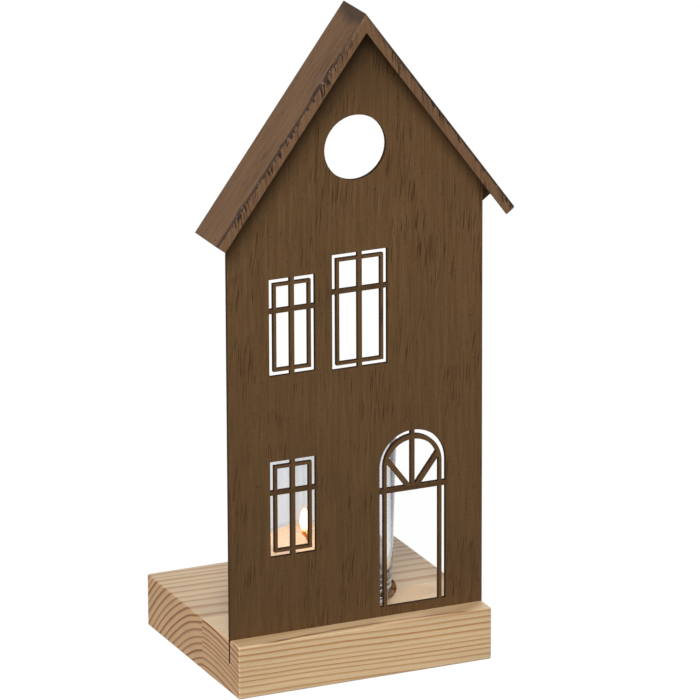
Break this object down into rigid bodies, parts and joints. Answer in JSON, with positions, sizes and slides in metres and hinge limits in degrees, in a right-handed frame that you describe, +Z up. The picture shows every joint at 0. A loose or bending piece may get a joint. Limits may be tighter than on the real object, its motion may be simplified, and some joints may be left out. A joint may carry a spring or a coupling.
{
  "type": "tealight house",
  "caption": "Gabled house front of pierced, painted sheet metal with a folded roof, standing in a slotted pine base that holds a glass tumbler and a tealight behind it.",
  "frame": {"origin": "middle of the base's underside, on the surface that it stands on", "axes": "+Z up, +X along the facade to the right as seen from the front, -Y out of the facade's front"},
  "size_m": [0.1392, 0.1045, 0.3001],
  "materials": {
    "pine": "sanded, unfinished pine",
    "brown_paint": "matte brown paint with dark brushed streaks",
    "clear_glass": "clear, polished",
    "clear_cup": "clear, thermoformed",
    "candle_wax": "candle wax",
    "cotton_wick": "charred cotton",
    "tinned_steel": "tinned"
  },
  "bodies": {
    "house": {"base_front_stave": "pine", "base_rear_stave": "pine", "facade": "brown_paint", "roof": "brown_paint", "roof_tacks": "brown_paint"},
    "glass": {"glass": "clear_glass"},
    "tealight": {"tealight_cup": "clear_cup", "tealight_wax": "candle_wax", "wick": "cotton_wick", "wick_sustainer": "tinned_steel"}
  },
  "joints": [
    {"name": "glass_lift", "type": "slide", "parent": "house", "child": "glass", "axis": [0, 0, 1], "range_m": [0, 0.1]},
    {"name": "tealight_lift", "type": "slide", "parent": "glass", "child": "tealight", "axis": [0, 0, 1], "range_m": [0, 0.1]}
  ]
}
